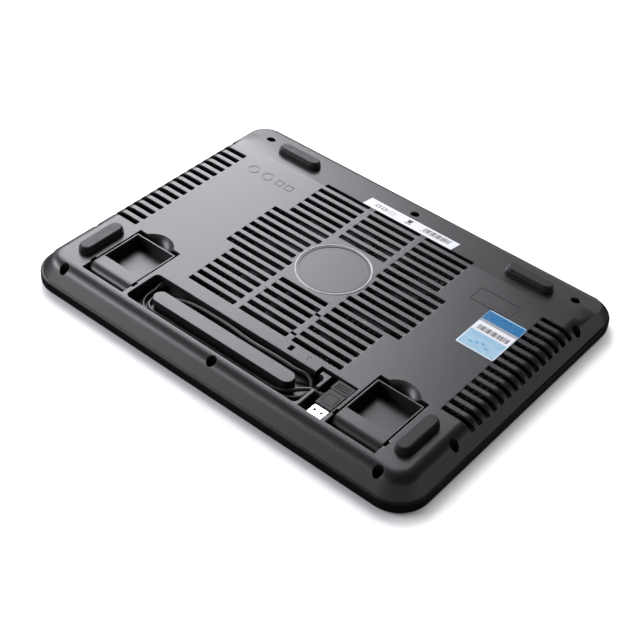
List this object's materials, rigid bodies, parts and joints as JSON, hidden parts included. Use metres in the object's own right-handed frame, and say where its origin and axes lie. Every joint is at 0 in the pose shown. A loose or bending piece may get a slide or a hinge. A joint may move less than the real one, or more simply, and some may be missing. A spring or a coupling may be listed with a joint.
{
  "type": "laptop cooling pad",
  "caption": "Laptop cooling pad lying face down: slotted underside with raised ring, fold-out legs, rubber feet and a stowed USB cable; fan and mesh inside.",
  "frame": {"origin": "under the middle of the pad, on the plane of the laptop side, which faces down", "axes": "+X along the long side, +Y from the edge with the fold-out legs to the edge with the sloping band, +Z out of the slotted underside"},
  "size_m": [0.36, 0.272, 0.03],
  "materials": {
    "cover_plastic": "fine satin moulding texture, dark grey",
    "frame_plastic": "semi-gloss black",
    "mesh_steel": "matt black coat",
    "leg_plastic": "satin dark grey",
    "pin_steel": "ground",
    "foot_rubber": "matt black",
    "motor_plastic": "satin black",
    "bearing_brass": "sintered",
    "stator_steel": "laminated",
    "coil_copper": "varnished copper wire",
    "board_green": "solder mask",
    "fan_plastic": "semi-gloss black",
    "magnet_ferrite": "bonded ferrite",
    "screw_steel": "black zinc",
    "lead_sheath": "black PVC",
    "cable_sheath": "satin black PVC",
    "plug_plastic": "satin black PVC",
    "plug_steel": "bright nickel plate",
    "plug_insert": "white",
    "label_film": "printed blue film",
    "label_white": "printed white film"
  },
  "bodies": {
    "housing": {"bottom_cover": "cover_plastic", "top_frame": "frame_plastic", "mesh_panel": "mesh_steel", "foot_rear_left": "foot_rubber", "foot_rear_right": "foot_rubber", "foot_front_left": "foot_rubber", "foot_front_right": "foot_rubber", "motor_base": "motor_plastic", "motor_bearing": "bearing_brass", "stator_core": "stator_steel", "stator_coils": "coil_copper", "motor_board": "board_green", "fan_screws": "screw_steel", "case_screws": "screw_steel", "fan_lead": "lead_sheath", "strain_relief": "cable_sheath", "usb_cable": "cable_sheath", "usb_plug_body": "plug_plastic", "usb_plug_shell": "plug_steel", "usb_plug_insert": "plug_insert", "rating_label": "label_white", "barcode_label": "label_film"},
    "left_leg": {"leg_left": "leg_plastic", "leg_pin_left": "pin_steel"},
    "right_leg": {"leg_right": "leg_plastic", "leg_pin_right": "pin_steel"},
    "rotor": {"fan_rotor": "fan_plastic", "rotor_magnet": "magnet_ferrite", "rotor_shaft": "pin_steel"}
  },
  "joints": [
    {"name": "fan_spin", "type": "hinge", "parent": "housing", "child": "rotor", "pos_m": [0, 0.01, 0.012], "axis": [0, 0, 1], "continuous": true},
    {"name": "left_leg_fold", "type": "hinge", "parent": "housing", "child": "left_leg", "pos_m": [-0.117, -0.1045, 0.0149], "axis": [1, 0, 0], "range_deg": [0, 105]},
    {"name": "right_leg_fold", "type": "hinge", "parent": "housing", "child": "right_leg", "pos_m": [0.117, -0.1045, 0.0149], "axis": [1, 0, 0], "range_deg": [0, 105]}
  ]
}
